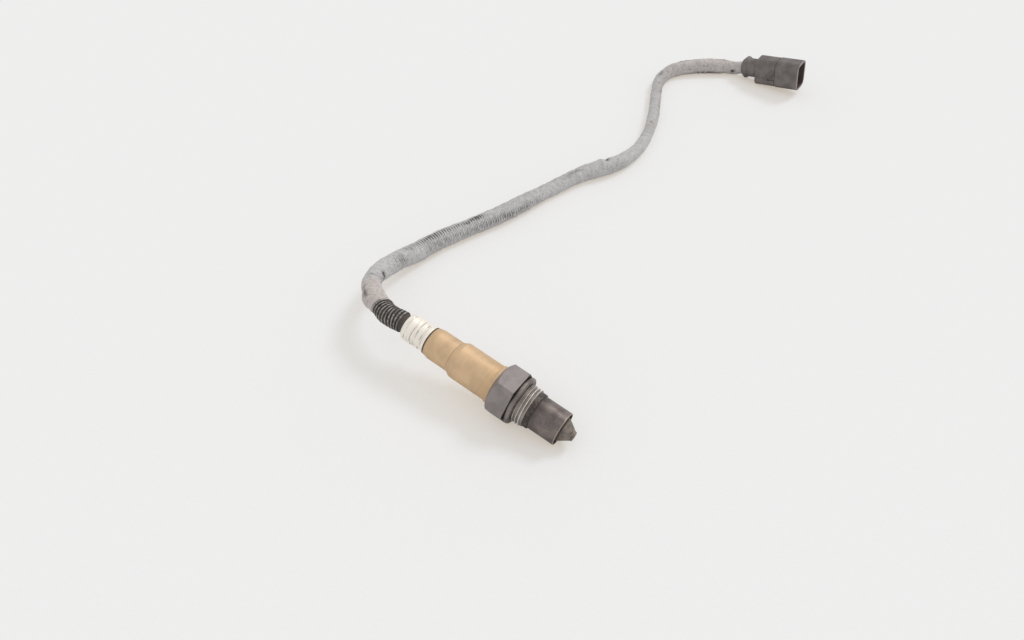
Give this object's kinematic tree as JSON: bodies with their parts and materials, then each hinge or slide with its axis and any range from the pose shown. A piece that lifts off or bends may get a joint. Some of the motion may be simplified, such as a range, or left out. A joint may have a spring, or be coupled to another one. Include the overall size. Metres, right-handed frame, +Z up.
{
  "type": "oxygen sensor",
  "caption": "Threaded exhaust oxygen sensor with a hexagon body, stepped steel sleeve, ribbed boot, sleeved cable and a sealed upright plug.",
  "frame": {"origin": "centre of the sensor's own box, on the surface that it lies on (cable and plug not counted)", "axes": "+Z up, +X along the sensor towards its tip, +Y towards the side that the cable leaves for"},
  "size_m": [0.1298, 0.3319, 0.0267],
  "materials": {
    "hexagon_steel": "matte grey heat-darkened steel",
    "gasket_steel": "dull stained steel",
    "tube_steel": "satin steel with brown-grey exhaust tint",
    "cone_steel": "sooty satin steel",
    "element_ceramic": "fine zirconia ceramic",
    "bush_ceramic": "unglazed steatite",
    "talc_powder": "pressed talc powder",
    "sleeve_steel": "satin straw-tinted stainless steel",
    "holder_ceramic": "unglazed alumina",
    "contact_metal": "nickel spring strip",
    "clamp_steel": "spring steel",
    "grommet_rubber": "fluoro-rubber",
    "crimp_steel": "pale satin stainless steel",
    "boot_rubber": "black rubber, dusty on the ribs",
    "wire_black": "extruded insulation",
    "wire_red": "extruded insulation",
    "wire_white": "extruded insulation",
    "wire_yellow": "extruded insulation",
    "wire_grey": "extruded insulation",
    "cable_sleeving": "grey coated woven sleeving, scuffed",
    "plug_plastic": "dusty black moulded plastic",
    "seal_silicone": "silicone rubber",
    "terminal_metal": "tin-plated brass",
    "plug_wire_insulation": "extruded insulation",
    "lock_plastic": "natural moulded plastic",
    "chip_ceramic": "coated resistor chip"
  },
  "bodies": {
    "root": {"housing": "hexagon_steel", "seal_ring": "gasket_steel", "outer_protection_tube": "tube_steel", "inner_protection_tube": "cone_steel", "sensing_element": "element_ceramic", "front_ceramic_bush": "bush_ceramic", "talc_packing": "talc_powder", "rear_ceramic_bush": "bush_ceramic", "protective_sleeve": "sleeve_steel", "contact_holder_upper": "holder_ceramic", "contact_holder_lower": "holder_ceramic", "contact_springs": "contact_metal", "contact_clamp_ring": "clamp_steel", "wire_grommet": "grommet_rubber", "crimp_sleeve": "crimp_steel", "corrugated_boot": "boot_rubber", "lead_wire_1": "wire_black", "lead_wire_2": "wire_red", "lead_wire_3": "wire_white", "lead_wire_4": "wire_yellow", "lead_wire_5": "wire_grey", "cable": "cable_sleeving", "connector_cap": "plug_plastic", "connector_housing": "plug_plastic", "wire_seal": "seal_silicone", "terminal_pins": "terminal_metal", "plug_wires": "plug_wire_insulation", "terminal_lock": "lock_plastic", "trim_chip": "chip_ceramic"}
  },
  "joints": []
}
